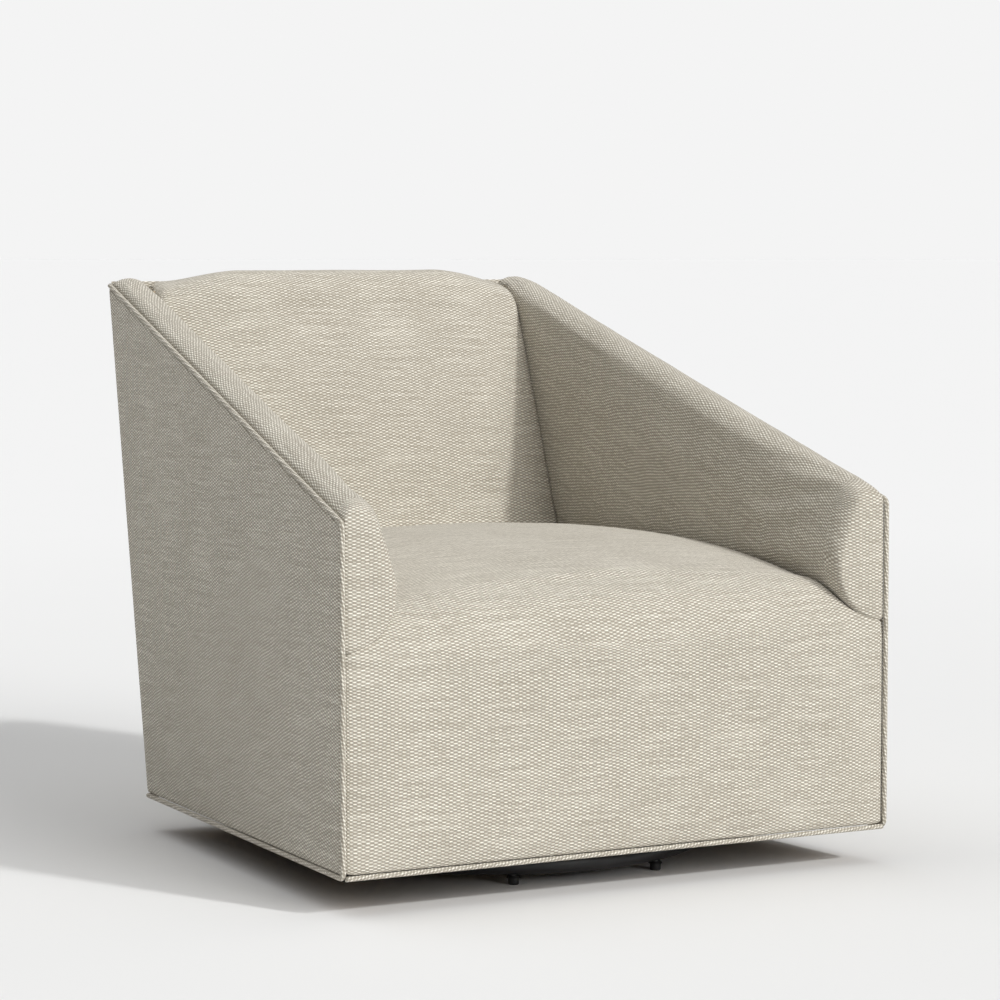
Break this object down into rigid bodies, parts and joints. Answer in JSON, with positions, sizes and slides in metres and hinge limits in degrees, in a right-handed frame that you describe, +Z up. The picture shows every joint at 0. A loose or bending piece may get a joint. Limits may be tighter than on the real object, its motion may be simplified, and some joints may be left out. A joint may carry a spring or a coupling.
{
  "type": "upholstered swivel rocker armchair",
  "caption": "Low upholstered armchair with sloped padded arms and a raked back; its body rocks on a sprung shaft and swivels over a round tube base.",
  "frame": {"origin": "on the floor, under the middle of the bounding box", "axes": "+Z up; the front of the seat faces -Y; +X is on the right as seen from the front"},
  "size_m": [0.7896, 0.85, 0.7701],
  "materials": {
    "tweed": "matte",
    "foam": "matte",
    "webbing": "matte",
    "black_cloth": "matte",
    "hardwood": "matte",
    "black_tube": "satin",
    "black_bracket": "satin",
    "zinc_steel": "satin",
    "spring_steel": "satin",
    "nylon": "matte",
    "glide_plastic": "satin",
    "stop_rubber": "matte"
  },
  "bodies": {
    "base": {"base_ring": "black_tube", "glides": "glide_plastic", "glide_stems": "zinc_steel", "cross_tubes": "black_tube", "base_plate": "zinc_steel", "lower_race": "zinc_steel", "bearing_balls": "zinc_steel", "ball_cage": "nylon", "centre_pin": "zinc_steel", "centre_pin_nut": "zinc_steel"},
    "turntable": {"turntable": "zinc_steel", "cradle_plate": "black_bracket", "cradle_ears": "black_bracket", "cradle_bolts": "zinc_steel", "rocker_shaft": "zinc_steel", "shaft_clips": "zinc_steel", "stop_posts": "zinc_steel", "stop_pads": "stop_rubber", "rocker_springs": "spring_steel"},
    "seat": {"hangers": "black_bracket", "rocker_bushings": "nylon", "rocker_top_plate": "black_bracket", "hanger_screws": "zinc_steel", "front_rail": "hardwood", "rear_rail": "hardwood", "side_rail_right": "hardwood", "side_rail_left": "hardwood", "corner_blocks": "hardwood", "arm_front_posts": "hardwood", "back_posts": "hardwood", "arm_rail_right": "hardwood", "arm_rail_left": "hardwood", "lower_rails": "hardwood", "back_top_rail": "hardwood", "back_low_rail": "hardwood", "spring_rail": "hardwood", "bearers": "hardwood", "seat_springs": "spring_steel", "spring_clips": "spring_steel", "deck_cloth": "black_cloth", "dust_cloth": "black_cloth", "back_straps": "webbing", "seat_cover": "tweed", "seat_foam": "foam", "front_border_cover": "tweed", "front_border_foam": "foam", "back_cover": "tweed", "back_foam": "foam", "arm_cover_right": "tweed", "arm_cover_left": "tweed", "arm_foam_right": "foam", "arm_foam_left": "foam", "side_panel_right": "tweed", "side_panel_left": "tweed", "outside_back": "tweed", "side_welt_right": "tweed", "side_welt_left": "tweed", "bottom_welts": "tweed"}
  },
  "joints": [
    {"name": "swivel", "type": "hinge", "parent": "base", "child": "turntable", "pos_m": [0, -0.07, 0.0465], "axis": [0, 0, 1], "continuous": true},
    {"name": "rock", "type": "hinge", "parent": "turntable", "child": "seat", "pos_m": [0, -0.07, 0.108], "axis": [1, 0, 0], "range_deg": [-6, 4.5], "stiffness_Nm_per_rad": 1500, "deforming": ["rocker_springs"]}
  ]
}
